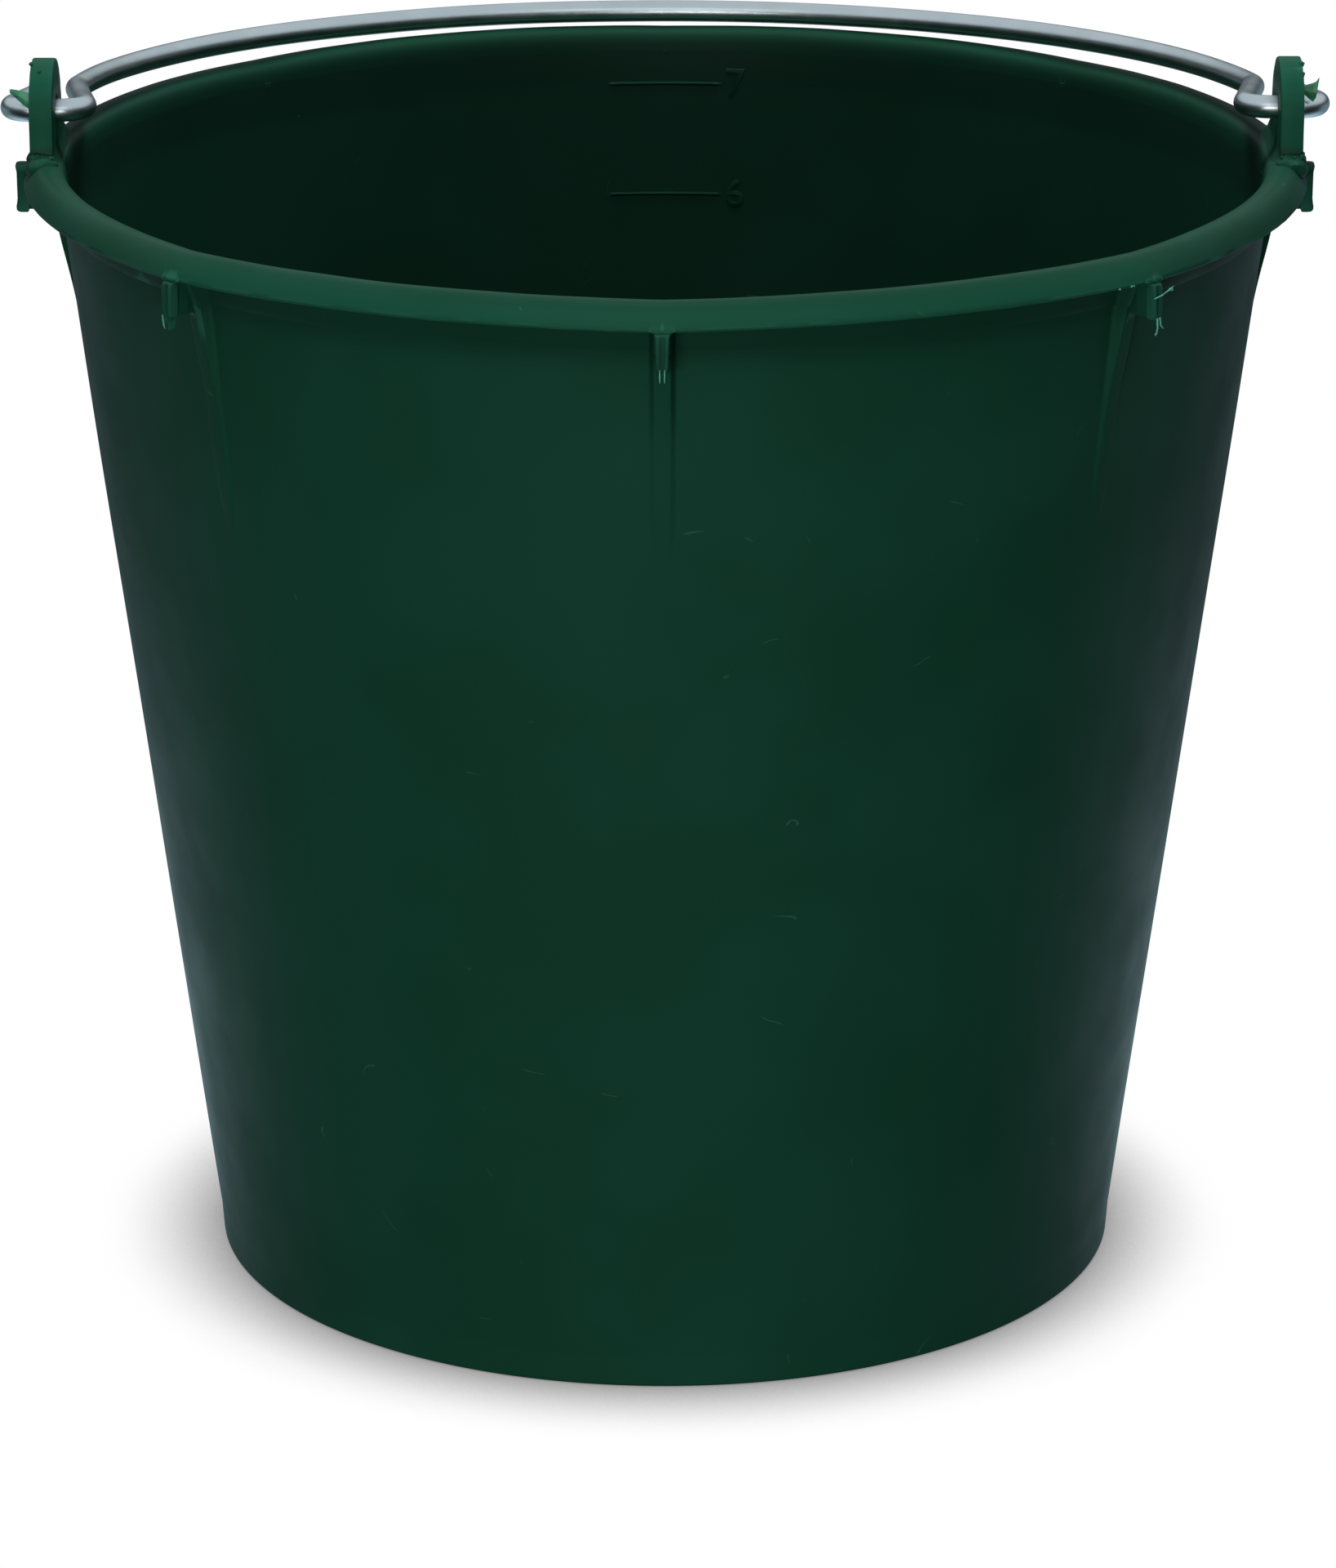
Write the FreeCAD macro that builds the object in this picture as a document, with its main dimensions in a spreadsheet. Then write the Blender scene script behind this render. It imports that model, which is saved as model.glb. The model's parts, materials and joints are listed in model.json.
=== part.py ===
import FreeCAD, Part
import Sketcher
import math
import os

# Florist bucket: a tapered one-piece moulded pail with a swinging wire bail.
#
# Millimetres, +Z up. The origin is the centre of the foot, on the surface that the pail
# stands on. X runs through the two pierced ears, which is also the bail's hinge axis, and
# the bail at rest lies back over the rim towards +Y.

DIMENSIONS = {
    # foot and floor
    "base_radius": 92.1,
    "foot_corner": 0.8,
    "foot_height": 6.2,
    "foot_ring_width": 2.4,
    "foot_ring_draft": 0.5,
    "recess_height": 9.4,
    "floor_thickness": 2.2,
    "floor_round": 4.0,
    # tapered wall
    "wall_foot_radius": 92.5,
    "wall_slope": 0.1288,
    "wall_thickness": 1.9,
    # collar step and rim
    "step_height": 216.5,
    "step_depth": 0.4,
    "collar_flare": 1.3,
    "rim_underside": 221.9,
    "rim_top": 226.9,
    "rim_radius": 127.2,
    "rim_lip_draft": 0.3,
    "rim_round": 4.3,
    "mouth_height": 223.0,
    "mouth_round": 4.4,
    # lugs, webs and ribs round the rim
    "lug_count": 8,
    "lug_inner_radius": 126.4,
    "lug_outer_radius": 129.0,
    "lug_width": 2.9,
    "lug_foot": 213.6,
    "lug_top": 224.0,
    "web_foot": 214.8,
    "web_width": 1.4,
    "rib_width": 3.7,
    "rib_foot": 168.0,
    "rib_knee_low": 195.0,
    "rib_knee_high": 210.6,
    "rib_rise_low": 0.5,
    "rib_rise_high": 2.05,
    "rib_rise_top": 3.2,
    "embed": 1.0,
    "lug_embed": 0.5,
    # ears
    "ear_inner_x": 120.5,
    "ear_thickness": 4.6,
    "ear_half_width": 10.4,
    "ear_flare_front": 2.0,
    "ear_flare_back": 8.0,
    "ear_flare_foot": 226.0,
    "hinge_height": 235.0,
    "ear_hole_radius": 2.7,
    # moulded litre marks inside the wall
    "mark_relief": 0.35,
    "mark_embed": 0.5,
    "mark_height": 0.7,
    "mark_arc": 12.2,
    "mark_arc_long": 16.2,
    # bail
    "wire_radius": 2.3,
    "wire_end_chamfer": 0.5,
    "bail_radius": 120.8,
    "bail_offset": 3.5,
    "bail_dip": 2.54,
    "pivot_inner_x": 120.3,
    "pivot_outer_x": 125.3,
    "crank_angle": 80.0,
    "crank_round": 5.0,
    "shoulder_round": 7.0,
    "hook_round": 4.5,
    "tail_angle": 106.0,
    "tail_length": 12.0,
}
LITRE_MARKS = 7
LONG_MARK = 5
CUBIC_MM_PER_LITRE = 1e6


class Size:
    """A length known both as a number and as the sheet expression that it comes from."""

    def __init__(self, value, text=None):
        self.value = float(value)
        self.text = text or repr(value)

    def joined(self, other, sign, value):
        return Size(value, f"({self.text} {sign} {as_size(other).text})")

    def __add__(self, other):
        return self.joined(other, "+", self.value + as_size(other).value)

    def __sub__(self, other):
        return self.joined(other, "-", self.value - as_size(other).value)

    def __mul__(self, other):
        return self.joined(other, "*", self.value * as_size(other).value)

    def __truediv__(self, other):
        return self.joined(other, "/", self.value / as_size(other).value)

    def __pow__(self, other):
        return self.joined(other, "^", self.value ** as_size(other).value)

    def __neg__(self):
        return Size(-self.value, f"(-{self.text})")


def as_size(thing):
    return thing if isinstance(thing, Size) else Size(thing)


doc = FreeCAD.newDocument("florist_bucket")
sheet = doc.addObject("Spreadsheet::Sheet", "Dims")
for row, (alias, number) in enumerate(DIMENSIONS.items(), start=1):
    sheet.set(f"A{row}", alias)
    sheet.set(f"B{row}", str(number))
    sheet.setAlias(f"B{row}", alias)
doc.recompute()


def dim(alias):
    return Size(DIMENSIONS[alias], f"Dims.{alias}")


def origin_feature(body, role):
    """One of a body's own origin planes or axes, such as XY_Plane or Z_Axis."""
    return next(item for item in body.Origin.OriginFeatures if item.Role == role)


def new_sketch(body, name, role):
    sketch = body.newObject("Sketcher::SketchObject", name)
    sketch.AttachmentSupport = [(origin_feature(body, role), "")]
    sketch.MapMode = "FlatFace"
    return sketch


def constrain(sketch, kind, *args):
    """Add a constraint whose last argument may be a Size, which then drives it."""
    driver = args[-1] if isinstance(args[-1], Size) else None
    plain = [arg.value if isinstance(arg, Size) else arg for arg in args]
    if kind == "Angle":
        plain[-1] = math.radians(plain[-1])
    index = sketch.addConstraint(Sketcher.Constraint(kind, *plain))
    if driver and kind == "Angle":
        sketch.setExpression(f"Constraints[{index}]", f"{driver.text} * 1 deg")
    elif driver:
        sketch.setExpression(f"Constraints[{index}]", driver.text)


def vector(point):
    return FreeCAD.Vector(as_size(point[0]).value, as_size(point[1]).value, 0)


def place_point(sketch, geometry, end, point):
    """Hold one end of a curve at a point given as two Sizes; a plain 0 means on that axis."""
    x, y = point
    if isinstance(x, Size):
        constrain(sketch, "DistanceX", -1, 1, geometry, end, x)
    else:
        constrain(sketch, "PointOnObject", geometry, end, -2)
    if isinstance(y, Size):
        constrain(sketch, "DistanceY", -1, 1, geometry, end, y)
    else:
        constrain(sketch, "PointOnObject", geometry, end, -1)


def arc_between(first, last, radius, turn):
    """An arc from first to last; turn is 1 if it runs anticlockwise, and -1 if clockwise."""
    chord = last - first
    half = chord.Length / 2
    sagitta = radius - math.sqrt(max(radius ** 2 - half ** 2, 0))
    side = FreeCAD.Vector(chord.y, -chord.x, 0).normalize() * turn
    return Part.Arc(first, (first + last) / 2 + side * sagitta, last)


def curve_ends(sketch, geometry, first):
    """Which end of a curve, 1 or 2, lies at the first point, and which is the other one."""
    at_start = (sketch.getPoint(geometry, 1) - first).Length < (sketch.getPoint(geometry, 2) - first).Length
    return (1, 2) if at_start else (2, 1)


def closed_profile(sketch, points, rounds):
    """A loop through the points, with arcs after those that rounds names.

    rounds maps a point's index to (radius, turn), or for a half circle, whose ends alone
    already give its radius, to (radius, turn, height of its centre).
    """
    curves = []
    for index, point in enumerate(points):
        first = vector(point)
        last = vector(points[(index + 1) % len(points)])
        if index in rounds:
            radius, turn, *_ = rounds[index]
            geometry = sketch.addGeometry(arc_between(first, last, radius.value, turn), False)
        else:
            geometry = sketch.addGeometry(Part.LineSegment(first, last), False)
        curves.append((geometry, curve_ends(sketch, geometry, first)))
    for index, (geometry, (start, _)) in enumerate(curves):
        before, (_, before_end) = curves[index - 1]
        constrain(sketch, "Coincident", before, before_end, geometry, start)
        place_point(sketch, geometry, start, points[index])
        if index in rounds and len(rounds[index]) == 3:
            constrain(sketch, "DistanceY", -1, 1, geometry, 3, rounds[index][2])
        elif index in rounds:
            constrain(sketch, "Radius", geometry, rounds[index][0])


def add_pad(body, name, sketch, length, midplane):
    pad = body.newObject("PartDesign::Pad", name)
    pad.Profile = sketch
    pad.Midplane = midplane
    pad.setExpression("Length", length.text)
    return pad


def outer_wall(height):
    """Outer radius of the tapered wall at a height."""
    return dim("wall_foot_radius") + (as_size(height) - dim("foot_height")) * dim("wall_slope")


def inner_wall(height):
    return outer_wall(height) - dim("wall_thickness")


FLOOR_TOP = dim("recess_height") + dim("floor_thickness")


def litre_height(litres):
    """Height at which the tapered inside holds this many litres above the floor."""
    floor_radius = inner_wall(FLOOR_TOP)
    cubed = floor_radius ** 3 + dim("wall_slope") * (3 * CUBIC_MM_PER_LITRE * litres / math.pi)
    return FLOOR_TOP + (cubed ** (1 / 3) - floor_radius) / dim("wall_slope")


def add_shell(body):
    """Wall, floor, foot ring, collar step and turned-out rim, as one turned profile."""
    ring_inner = dim("base_radius") - dim("foot_ring_width")
    corner_height = FLOOR_TOP + dim("floor_round")
    collar_radius = outer_wall(dim("step_height")) + dim("step_depth")
    points = [
        (0, dim("recess_height")),
        (ring_inner - dim("foot_ring_draft"), dim("recess_height")),
        (ring_inner, 0),
        (dim("base_radius") - dim("foot_corner"), 0),
        (dim("base_radius"), dim("foot_corner")),
        (dim("wall_foot_radius"), dim("foot_height")),
        (outer_wall(dim("step_height")), dim("step_height")),
        (collar_radius, dim("step_height")),
        (collar_radius + dim("collar_flare"), dim("rim_underside")),
        (dim("rim_radius") - dim("rim_lip_draft"), dim("rim_underside")),
        (dim("rim_radius"), dim("rim_top") - dim("rim_round")),
        (dim("rim_radius") - dim("rim_round"), dim("rim_top")),
        (inner_wall(dim("mouth_height")), dim("mouth_height")),
        (inner_wall(corner_height), corner_height),
        (inner_wall(corner_height) - dim("floor_round"), FLOOR_TOP),
        (0, FLOOR_TOP),
    ]
    rounds = {
        3: (dim("foot_corner"), 1),
        10: (dim("rim_round"), 1),
        11: (dim("mouth_round"), 1),
        13: (dim("floor_round"), -1),
    }
    sketch = new_sketch(body, "shell_profile", "XZ_Plane")
    closed_profile(sketch, points, rounds)
    shell = body.newObject("PartDesign::Revolution", "shell")
    shell.Profile = sketch
    shell.ReferenceAxis = (sketch, ["V_Axis"])
    shell.Angle = 360
    return shell


def add_lugs(body):
    """Eight lugs hanging outside the rim, each with a web behind it and a rib down the wall."""
    top = dim("rim_underside") + dim("lug_embed")
    web_reach = dim("lug_inner_radius") + dim("lug_embed")
    rib = [
        (outer_wall(dim("rib_foot")) - dim("embed"), dim("rib_foot")),
        (outer_wall(dim("rib_foot")), dim("rib_foot")),
        (outer_wall(dim("rib_knee_low")) + dim("rib_rise_low"), dim("rib_knee_low")),
        (outer_wall(dim("rib_knee_high")) + dim("rib_rise_high"), dim("rib_knee_high")),
        (outer_wall(top) + dim("rib_rise_top"), top),
        (outer_wall(top) - dim("embed"), top),
    ]
    web = [
        (outer_wall(dim("web_foot")) - dim("embed"), dim("web_foot")),
        (web_reach, dim("web_foot")),
        (web_reach, top),
        (outer_wall(dim("web_foot")) - dim("embed"), top),
    ]
    lug = [
        (dim("lug_inner_radius"), dim("lug_foot")),
        (dim("lug_outer_radius"), dim("lug_foot")),
        (dim("lug_outer_radius"), dim("lug_top")),
        (dim("lug_inner_radius"), dim("lug_top")),
    ]
    pads = []
    for name, points in (("rib", rib), ("web", web), ("lug", lug)):
        sketch = new_sketch(body, f"{name}_profile", "XZ_Plane")
        closed_profile(sketch, points, {})
        pads.append(add_pad(body, name, sketch, dim(f"{name}_width"), True))
        doc.recompute()
    pattern = body.newObject("PartDesign::PolarPattern", "lugs_round_rim")
    pattern.Originals = pads
    pattern.Axis = (origin_feature(body, "Z_Axis"), [""])
    pattern.Angle = 360
    pattern.setExpression("Occurrences", dim("lug_count").text)
    body.Tip = pattern
    return pattern


def add_ears(body):
    """Two arched plates on the rim, pierced for the bail and flared at the foot, more so behind."""
    half, foot = dim("ear_half_width"), dim("ear_flare_foot")
    front, back = dim("ear_flare_front"), dim("ear_flare_back")
    top = dim("hinge_height")
    points = [
        (-(half + front), dim("mouth_height")),
        (half + back, dim("mouth_height")),
        (half + back, foot),
        (half, foot + back),
        (half, top),
        (-half, top),
        (-half, foot + front),
        (-(half + front), foot),
    ]
    rounds = {2: (back, -1), 4: (half, 1, top), 6: (front, -1)}
    sketch = new_sketch(body, "ear_profile", "YZ_Plane")
    sketch.setExpression("AttachmentOffset.Base.z", dim("ear_inner_x").text)
    closed_profile(sketch, points, rounds)
    ear = add_pad(body, "ear", sketch, dim("ear_thickness"), False)
    doc.recompute()
    pair = body.newObject("PartDesign::Mirrored", "ear_pair")
    pair.Originals = [ear]
    pair.MirrorPlane = (origin_feature(body, "YZ_Plane"), [""])
    body.Tip = pair
    doc.recompute()
    hole_sketch = new_sketch(body, "ear_hole_profile", "YZ_Plane")
    circle = Part.Circle(vector((0, top)), FreeCAD.Vector(0, 0, 1), DIMENSIONS["ear_hole_radius"])
    hole_sketch.addGeometry(circle, False)
    place_point(hole_sketch, 0, 3, (0, top))
    constrain(hole_sketch, "Radius", 0, dim("ear_hole_radius"))
    holes = body.newObject("PartDesign::Pocket", "ear_holes")
    holes.Profile = hole_sketch
    holes.Type = "ThroughAll"
    holes.Midplane = True
    return holes


def add_marks(body, name, litres, arc_length):
    """Raised lines on the inner wall at the given litres, swept a short way round the back."""
    sketch = new_sketch(body, f"{name}_profile", "YZ_Plane")
    for amount in litres:
        height = litre_height(amount)
        low = height - dim("mark_height") / 2
        high = height + dim("mark_height") / 2
        inside = inner_wall(height) - dim("mark_relief")
        outside = inner_wall(height) + dim("mark_embed")
        closed_profile(sketch, [(inside, low), (outside, low), (outside, high), (inside, high)], {})
    marks = body.newObject("PartDesign::Revolution", name)
    marks.Profile = sketch
    marks.ReferenceAxis = (sketch, ["V_Axis"])
    marks.Midplane = True
    angle = dim(arc_length) * 2 / inner_wall(litre_height(litres[-1])) * (180 / math.pi)
    marks.setExpression("Angle", angle.text)
    return marks


def turned(point, angle, length):
    """The point at a length from another, in the direction of an angle in degrees."""
    direction = FreeCAD.Vector(math.cos(math.radians(angle)), math.sin(math.radians(angle)), 0)
    return point + direction * length


def wire_route():
    """Points of half the bail, flat: from the top of the arc to the tail outside the ear."""
    number = DIMENSIONS
    arc_centre = FreeCAD.Vector(0, number["bail_offset"], 0)
    leg_angle, tail_angle = number["crank_angle"], number["tail_angle"]
    crank_centre = FreeCAD.Vector(number["pivot_inner_x"], number["crank_round"], 0)
    leg_foot = turned(crank_centre, leg_angle + 90, number["crank_round"])
    # the shoulder's centre runs beside the leg until it meets the circle that the arc allows
    side = turned(leg_foot, leg_angle + 90, number["shoulder_round"]) - arc_centre
    along = turned(FreeCAD.Vector(), leg_angle, 1)
    reach = number["bail_radius"] - number["shoulder_round"]
    across = side.dot(along)
    travel = -across + math.sqrt(across ** 2 - side.dot(side) + reach ** 2)
    shoulder_centre = arc_centre + side + along * travel
    hook_centre = FreeCAD.Vector(number["pivot_outer_x"], number["hook_round"], 0)
    tail_foot = turned(hook_centre, tail_angle - 90, number["hook_round"])
    return {
        "top": arc_centre + FreeCAD.Vector(0, number["bail_radius"], 0),
        "shoulder_high": arc_centre + (shoulder_centre - arc_centre) * (number["bail_radius"] / reach),
        "leg_head": leg_foot + along * travel,
        "leg_foot": leg_foot,
        "pivot_inner": FreeCAD.Vector(number["pivot_inner_x"], 0, 0),
        "pivot_outer": FreeCAD.Vector(number["pivot_outer_x"], 0, 0),
        "tail_foot": tail_foot,
        "tail_end": turned(tail_foot, tail_angle, number["tail_length"]),
    }


def add_route(body):
    """Half of the wire's centre line: arc, shoulder, leg, crank, pivot, hook and tail."""
    sketch = new_sketch(body, "wire_route", "XY_Plane")
    at = wire_route()
    plan = [
        ("top", "shoulder_high", "bail_radius", -1),
        ("shoulder_high", "leg_head", "shoulder_round", -1),
        ("leg_head", "leg_foot", None, 0),
        ("leg_foot", "pivot_inner", "crank_round", 1),
        ("pivot_inner", "pivot_outer", None, 0),
        ("pivot_outer", "tail_foot", "hook_round", 1),
        ("tail_foot", "tail_end", None, 0),
    ]
    ends = []
    for first, last, radius, turn in plan:
        if radius:
            curve = arc_between(at[first], at[last], DIMENSIONS[radius], turn)
        else:
            curve = Part.LineSegment(at[first], at[last])
        geometry = sketch.addGeometry(curve, False)
        ends.append((geometry, *curve_ends(sketch, geometry, at[first])))
    for (before, _, before_end), (after, after_start, _) in zip(ends, ends[1:]):
        sketch.addConstraint(Sketcher.Constraint("Tangent", before, before_end, after, after_start))
    for (geometry, _, _), (_, _, radius, _) in zip(ends, plan):
        if radius:
            constrain(sketch, "Radius", geometry, dim(radius))
    arc, shoulder, leg, crank, pivot, hook, tail = (geometry for geometry, _, _ in ends)
    constrain(sketch, "PointOnObject", arc, ends[0][1], -2)
    place_point(sketch, arc, 3, (0, dim("bail_offset")))
    place_point(sketch, pivot, 1, (dim("pivot_inner_x"), 0))
    place_point(sketch, pivot, 2, (dim("pivot_outer_x"), 0))
    constrain(sketch, "Angle", leg, dim("crank_angle") - 180)
    constrain(sketch, "Angle", tail, dim("tail_angle"))
    constrain(sketch, "Distance", tail, dim("tail_length"))
    return sketch


def add_bail(body):
    """The bail's wire swept along half its route, mirrored, with its cut ends broken."""
    route = add_route(body)
    section = new_sketch(body, "wire_section", "YZ_Plane")
    centre = FreeCAD.Vector(DIMENSIONS["bail_radius"] + DIMENSIONS["bail_offset"], 0, 0)
    section.addGeometry(Part.Circle(centre, FreeCAD.Vector(0, 0, 1), DIMENSIONS["wire_radius"]), False)
    place_point(section, 0, 3, (dim("bail_radius") + dim("bail_offset"), 0))
    constrain(section, "Radius", 0, dim("wire_radius"))
    doc.recompute()
    wire = body.newObject("PartDesign::AdditivePipe", "half_wire")
    wire.Profile = section
    wire.Spine = (route, [""])
    doc.recompute()
    end_edge = min(
        range(1, len(wire.Shape.Edges) + 1),
        key=lambda index: (wire.Shape.Edges[index - 1].CenterOfMass - wire_route()["tail_end"]).Length,
    )
    chamfer = body.newObject("PartDesign::Chamfer", "cut_end")
    chamfer.Base = (wire, [f"Edge{end_edge}"])
    chamfer.setExpression("Size", dim("wire_end_chamfer").text)
    doc.recompute()
    whole = body.newObject("PartDesign::Mirrored", "whole_wire")
    whole.TransformMode = "Whole shape"
    whole.MirrorPlane = (origin_feature(body, "YZ_Plane"), [""])
    body.Tip = whole


def make_bucket():
    body = doc.addObject("PartDesign::Body", "bucket")
    add_shell(body)
    doc.recompute()
    add_lugs(body)
    doc.recompute()
    add_ears(body)
    doc.recompute()
    plain_marks = [litres for litres in range(1, LITRE_MARKS + 1) if litres != LONG_MARK]
    add_marks(body, "marks", plain_marks, "mark_arc")
    doc.recompute()
    add_marks(body, "long_mark", [LONG_MARK], "mark_arc_long")
    return body


def make_bail():
    """The bail is drawn flat with its hinge on its own X axis, then hung in the ears and laid back."""
    body = doc.addObject("PartDesign::Body", "bail")
    add_bail(body)
    body.Placement = FreeCAD.Placement(
        FreeCAD.Vector(0, 0, DIMENSIONS["hinge_height"]),
        FreeCAD.Rotation(FreeCAD.Vector(-1, 0, 0), DIMENSIONS["bail_dip"]),
    )
    body.setExpression("Placement.Base.z", dim("hinge_height").text)
    body.setExpression("Placement.Rotation.Angle", f"{dim('bail_dip').text} * 1 deg")
    return body


def check(parts):
    """Stop if anything in the document failed, or if a sub-part isn't one valid solid."""
    failed = [item.Label for item in doc.Objects if {"Invalid", "Error"} & set(item.State)]
    if failed:
        raise RuntimeError(f"failed objects: {failed}")
    for part in parts:
        shape = part.Shape
        if shape.isNull() or not shape.isValid() or len(shape.Solids) != 1:
            raise RuntimeError(f"{part.Label} is not one valid solid")
        box = shape.BoundBox
        print(
            f"{part.Label}: volume {shape.Volume:.0f} mm3, X {box.XMin:.1f}..{box.XMax:.1f},",
            f"Y {box.YMin:.1f}..{box.YMax:.1f}, Z {box.ZMin:.1f}..{box.ZMax:.1f}",
        )


parts = [make_bucket(), make_bail()]
doc.recompute()
check(parts)
os.makedirs("parts", exist_ok=True)
for part in parts:
    part.Shape.exportStep(f"parts/{part.Label}.step")
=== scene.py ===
"""Florist bucket: the looks of a dark green moulded pail and its galvanised wire bail.

Lengths are in millimetres, in the frame of the CAD model: +Z up, the origin at the centre of
the foot, X through the two ears. mesh_object() turns them into metres.
"""

import json
import math
import random

import bmesh
import bpy
from mathutils import Matrix, Vector, noise


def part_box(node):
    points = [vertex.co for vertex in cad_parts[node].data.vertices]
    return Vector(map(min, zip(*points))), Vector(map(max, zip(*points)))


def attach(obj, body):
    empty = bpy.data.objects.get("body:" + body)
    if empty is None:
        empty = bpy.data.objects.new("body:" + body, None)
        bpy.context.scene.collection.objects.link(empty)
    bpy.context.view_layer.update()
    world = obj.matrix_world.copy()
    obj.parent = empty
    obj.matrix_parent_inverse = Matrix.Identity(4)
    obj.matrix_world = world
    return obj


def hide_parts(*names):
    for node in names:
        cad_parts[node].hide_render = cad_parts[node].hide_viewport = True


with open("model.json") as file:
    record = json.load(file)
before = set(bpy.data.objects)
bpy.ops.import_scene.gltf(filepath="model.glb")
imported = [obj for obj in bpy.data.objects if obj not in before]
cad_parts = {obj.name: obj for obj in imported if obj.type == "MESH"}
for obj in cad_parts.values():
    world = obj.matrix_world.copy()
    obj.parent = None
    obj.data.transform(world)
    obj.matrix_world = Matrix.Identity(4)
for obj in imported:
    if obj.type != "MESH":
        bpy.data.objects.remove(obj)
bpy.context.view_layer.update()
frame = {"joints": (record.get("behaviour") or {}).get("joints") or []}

MM = 0.001
PAIL_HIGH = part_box("bucket")[1] / MM
HINGE_Z = frame["joints"][0]["pos_m"][2] / MM

# wall and foot
BASE_R = 92.1
WALL_FOOT_R = 92.5
FOOT_Z = 6.2
WALL_SLOPE = 0.1288
WALL_THICK = 1.9
RECESS_Z = 9.4
FLOOR_Z = 11.6
RING_INNER_R = BASE_R - 2.4
RING_DRAFT = 0.5
RING_ROUND = 1.2
BASE_ROUND = 0.8
FLOOR_ROUND = 4.0
GATE_R = 4.0
GATE_DEPTH = 0.5
# collar step and rim
STEP_Z = 216.5
STEP_DEPTH = 0.4
COLLAR_FLARE = 1.3
UNDER_Z = 221.9
RIM_TOP = 226.9
RIM_R = 127.2
LIP_DRAFT = 0.3
RIM_CREST_IN = 4.4
RIM_EDGE_IN = 7.5
MOUTH_Z = 223.0
# how far the wall pulls in between lugs; how far the rim dips at one, over how many degrees
PULL_IN = 0.45
SAG = 0.42
SAG_REACH = 16
# lugs and ribs
LUGS = 8
LUG_INNER_R = 126.4
LUG_OUTER_R = PAIL_HIGH.x
LUG_FACE_R = LUG_OUTER_R - 0.5
RIB_WIDTH = 3.7
RIB_FOOT = 168.0
# columns of the shell: few enough that the pail's STL stays under 200 000 triangles
RIB_COLUMNS = 24
WALL_COLUMNS = 48
RIB_COLUMNS_HALF = 1.7
# the three lugs in front, from the left
LUG_WIDE_TIP = 5
LUG_FRONT = 6
LUG_WHISKER = 7
# degrees that a lug stands off its even place
LUG_WANDER = {5: -1.35, 6: -0.23, 7: 0.6}
# ears
EAR_X = 120.5
EAR_THICK = 4.6
EAR_HALF = 10.4
FLARE_FRONT = 2.4
FLARE_BACK = 8.4
HOLE_R = 2.7
# side, how far out it stands and its top
EARS = ((-1, 0.0, HINGE_Z + 10.0), (1, 0.6, HINGE_Z + EAR_HALF - 0.06))
GUSSET_FOOT_R = 118.75
GUSSET_FRONT = -15
GUSSET_BACK = 26
# bail
WIRE_R = 2.3
BAIL_R = 120.8
BAIL_OFFSET = 3.5
BAIL_DIP = 2.54
PIVOT_IN = 120.3
PIVOT_OUT = 125.3
CRANK_ANGLE = 80.0
CRANK_ROUND = 5.0
SHOULDER_ROUND = 7.0
HOOK_ROUND = 4.5
TAIL_ANGLE = 106.0
TAIL_LENGTH = 12.0
# how far the right pivot stands higher than the left, per mm of X: within the play of the holes
BAIL_TILT = 0.0029
# torn skins: at distances out from the ear, the scrap's lowest and highest point above the hinge
LEFT_SCRAP = [
    (0.0, 0.1, 3.6), (0.9, 0.6, 3.8), (1.9, 1.3, 4.1),
    (2.9, 2.2, 4.3), (3.9, 3.1, 4.45), (4.5, 3.8, 4.4),
]
RIGHT_SCRAP = [
    (0.0, 3.6, 4.9), (0.7, 3.4, 5.15), (2.5, 1.9, 5.7), (3.1, 2.7, 6.0), (3.6, 6.3, 6.75),
]
SCRAP_BESIDE_HINGE = 2.75


# -------------------- meshes

def mesh_object(name, points, faces):
    """A new object from points in millimetres."""
    mesh = bpy.data.meshes.new(name)
    mesh.from_pydata([Vector(point) * MM for point in points], [], faces)
    mesh.update()
    thing = bpy.data.objects.new(name, mesh)
    bpy.context.scene.collection.objects.link(thing)
    return thing


def skin(rings, looped=False):
    """Points and faces of a closed surface through rings of equally many points.

    A looped surface joins its last ring to its first; otherwise each end is closed, by one
    face, or by a fan where the end ring is a single point.
    """
    count = max(len(ring) for ring in rings)
    points, starts, faces = [], [], []
    for ring in rings:
        starts.append(len(points))
        points.extend(ring)
    pairs = list(zip(range(len(rings)), range(1, len(rings))))
    if looped:
        pairs.append((len(rings) - 1, 0))
    for low, high in pairs:
        for index in range(count):
            after = (index + 1) % count
            a, b = starts[low] + index, starts[low] + after
            c, d = starts[high] + after, starts[high] + index
            if len(rings[low]) == 1:
                faces.append((starts[low], c, d))
            elif len(rings[high]) == 1:
                faces.append((a, b, starts[high]))
            else:
                faces.append((a, b, c, d))
    if not looped and len(rings[0]) > 1:
        faces.append(tuple(reversed(range(count))))
    if not looped and len(rings[-1]) > 1:
        faces.append(tuple(starts[-1] + index for index in range(count)))
    return points, faces


def outward(thing):
    """Turn every face of a closed surface outwards."""
    work = bmesh.new()
    work.from_mesh(thing.data)
    bmesh.ops.recalc_face_normals(work, faces=work.faces)
    work.to_mesh(thing.data)
    work.free()
    return thing


def solid(name, rings, looped=False):
    """An object from a closed surface through rings."""
    return outward(mesh_object(name, *skin(rings, looped)))


def united(first, others):
    """One surface from overlapping solids; the others are used up."""
    for other in others:
        join = first.modifiers.new("join", "BOOLEAN")
        join.operation = "UNION"
        join.solver = "MANIFOLD"
        join.object = other
        depsgraph = bpy.context.evaluated_depsgraph_get()
        first.data = bpy.data.meshes.new_from_object(first.evaluated_get(depsgraph))
        first.modifiers.clear()
        bpy.data.objects.remove(other)
    return first


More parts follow.
